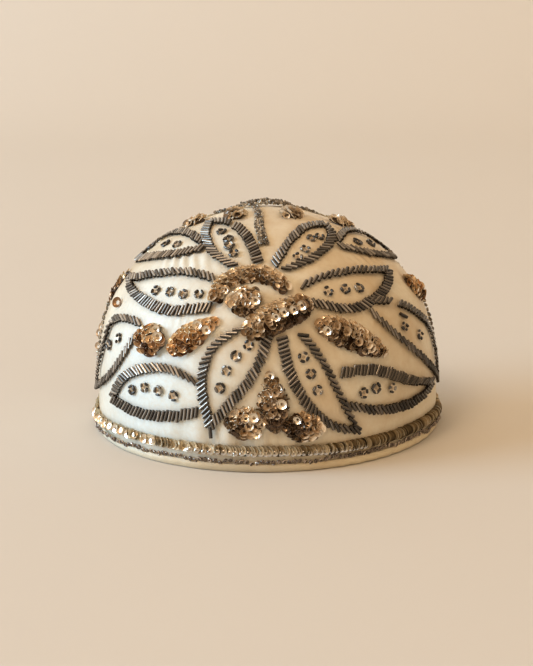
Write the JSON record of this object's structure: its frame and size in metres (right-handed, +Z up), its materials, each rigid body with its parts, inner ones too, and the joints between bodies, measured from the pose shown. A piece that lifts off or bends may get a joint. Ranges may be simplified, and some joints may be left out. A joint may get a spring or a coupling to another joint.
{
  "type": "beaded half hat",
  "caption": "Satin half hat that covers the front and top of the head, open at the back, with bead leaf outlines, sequin mounds, a sequin band and a bound edge.",
  "frame": {"origin": "on the surface that the rim rests on, under the middle of the hat's bounding box", "axes": "+X across the head, to the right as the front is seen; -Y towards the front; +Z up"},
  "size_m": [0.1758, 0.1304, 0.1119],
  "materials": {
    "satin": "ivory satin, soft sheen",
    "binding": "ivory satin bias binding",
    "bugle_beads": "dark grey metallic glass bugle beads",
    "seed_beads": "dark iridescent glass seed beads",
    "sequins": "copper and gold foil sequins",
    "gold_sequins": "old gold foil sequins, overlapped"
  },
  "bodies": {
    "root": {"crown": "satin", "edge_binding": "binding", "bead_line": "seed_beads", "sequin_band": "gold_sequins", "leaf_top_left": "bugle_beads", "leaf_top_right": "bugle_beads", "leaf_middle_left": "bugle_beads", "leaf_middle_right": "bugle_beads", "leaf_front_left": "bugle_beads", "leaf_front_right": "bugle_beads", "leaf_rim_left": "bugle_beads", "leaf_rim_right": "bugle_beads", "leaf_side_left": "bugle_beads", "leaf_side_right": "bugle_beads", "leaf_crown_left": "bugle_beads", "leaf_crown_right": "bugle_beads", "sequins_arch": "sequins", "sequins_bloom": "sequins", "sequins_bar": "sequins", "sequins_berry_left": "sequins", "sequins_bud_left": "sequins", "sequins_bud_right": "sequins", "sequins_front_top": "sequins", "sequins_front_left": "sequins", "sequins_front_right": "sequins", "sequins_top_left": "sequins", "sequins_top_right": "sequins", "sequins_shoulder_left": "sequins", "sequins_shoulder_right": "sequins", "sequins_side_right": "sequins", "sequins_side_left": "sequins", "bead_stem": "seed_beads", "bead_line_side_left": "seed_beads", "bead_line_side_right": "seed_beads", "bead_bar_top": "seed_beads"}
  },
  "joints": []
}
